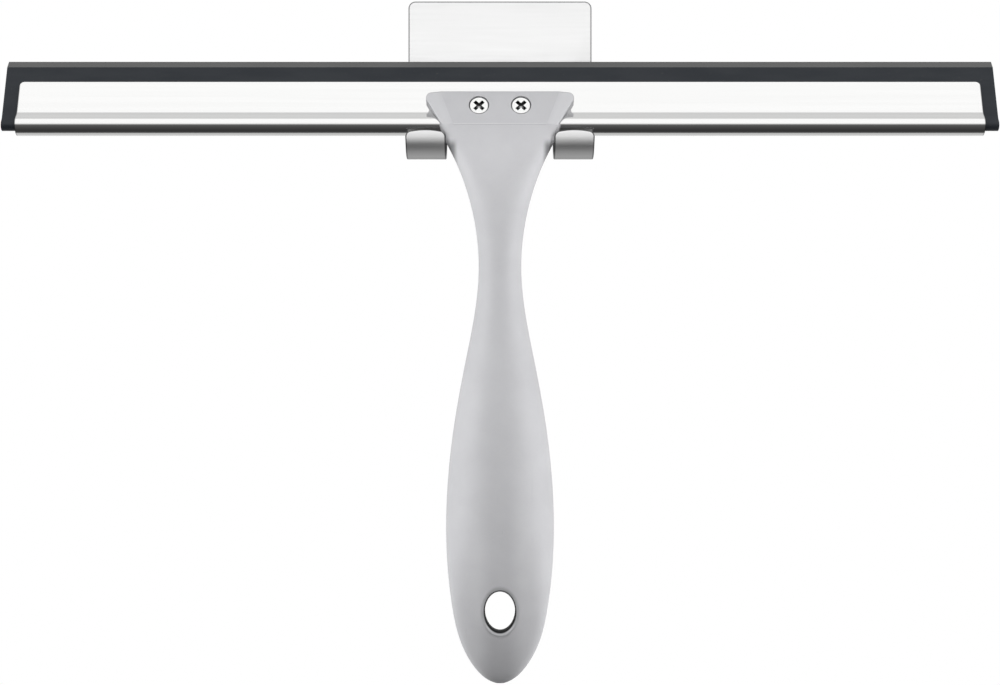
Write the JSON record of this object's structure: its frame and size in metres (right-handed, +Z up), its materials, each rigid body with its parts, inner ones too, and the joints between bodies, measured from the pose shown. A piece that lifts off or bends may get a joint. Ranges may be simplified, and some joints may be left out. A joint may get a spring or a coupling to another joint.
{
  "type": "window squeegee",
  "caption": "Window squeegee with a rubber blade in a folded steel channel, clamped in a tapered handle with a hanging eye, hung on a pronged adhesive wall hook.",
  "frame": {"origin": "centre of the adhesive pad's wall face", "axes": "+X along the blade, +Y into the wall, +Z up towards the blade's lip"},
  "size_m": [0.3048, 0.025, 0.2112],
  "materials": {
    "adhesive_foam": "closed-cell foam tape",
    "hook_steel": "polished stainless sheet",
    "channel_steel": "polished stainless sheet",
    "blade_rubber": "smooth dark extruded rubber",
    "handle_plastic": "satin silver-grey moulding with a fine flake",
    "screw_steel": "bright plated",
    "nut_steel": "bright plated"
  },
  "bodies": {
    "hook": {"adhesive_pad": "adhesive_foam", "wall_hook": "hook_steel"},
    "squeegee": {"blade_channel": "channel_steel", "rubber_blade": "blade_rubber", "handle_front": "handle_plastic", "handle_rear": "handle_plastic", "clamp_screws": "screw_steel", "clamp_nuts": "nut_steel"}
  },
  "joints": [
    {"name": "squeegee_lift", "type": "slide", "parent": "hook", "child": "squeegee", "axis": [0, 0, 1], "range_m": [0, 0.05]}
  ]
}
